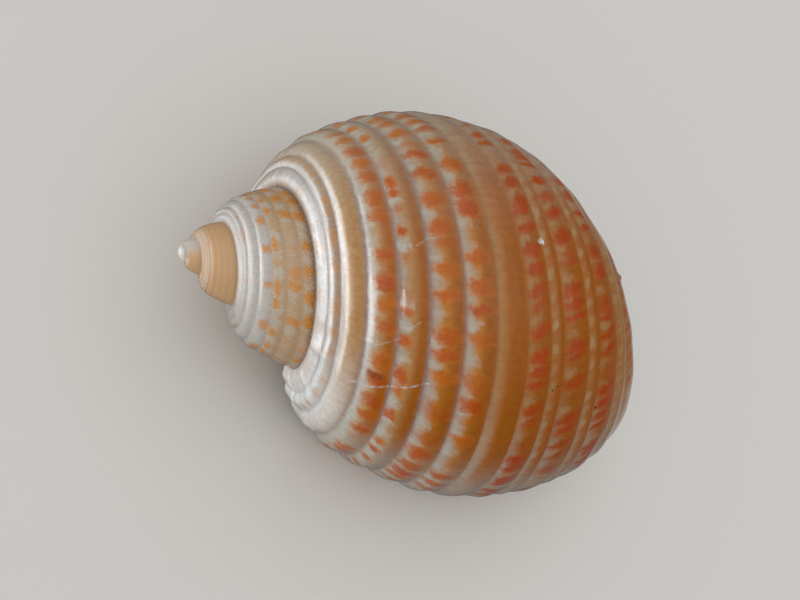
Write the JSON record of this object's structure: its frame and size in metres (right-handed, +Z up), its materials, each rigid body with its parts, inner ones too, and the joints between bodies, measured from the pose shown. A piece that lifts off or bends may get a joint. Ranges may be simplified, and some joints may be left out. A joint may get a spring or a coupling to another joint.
{
  "type": "tun shell",
  "caption": "Spiral sea-snail shell with a low spire, broad rounded spiral ribs and a wide open mouth, lying on its mouth side.",
  "frame": {"origin": "centre of the shell's footprint, on the surface that it rests on", "axes": "+X along the coiling axis, from the apex to the siphonal end, seen from above; +Z up"},
  "size_m": [0.1016, 0.0738, 0.0598],
  "materials": {
    "shell": "glossy natural shell, tan with orange blotches and white flecks on the ribs"
  },
  "bodies": {
    "root": {"shell": "shell"}
  },
  "joints": []
}
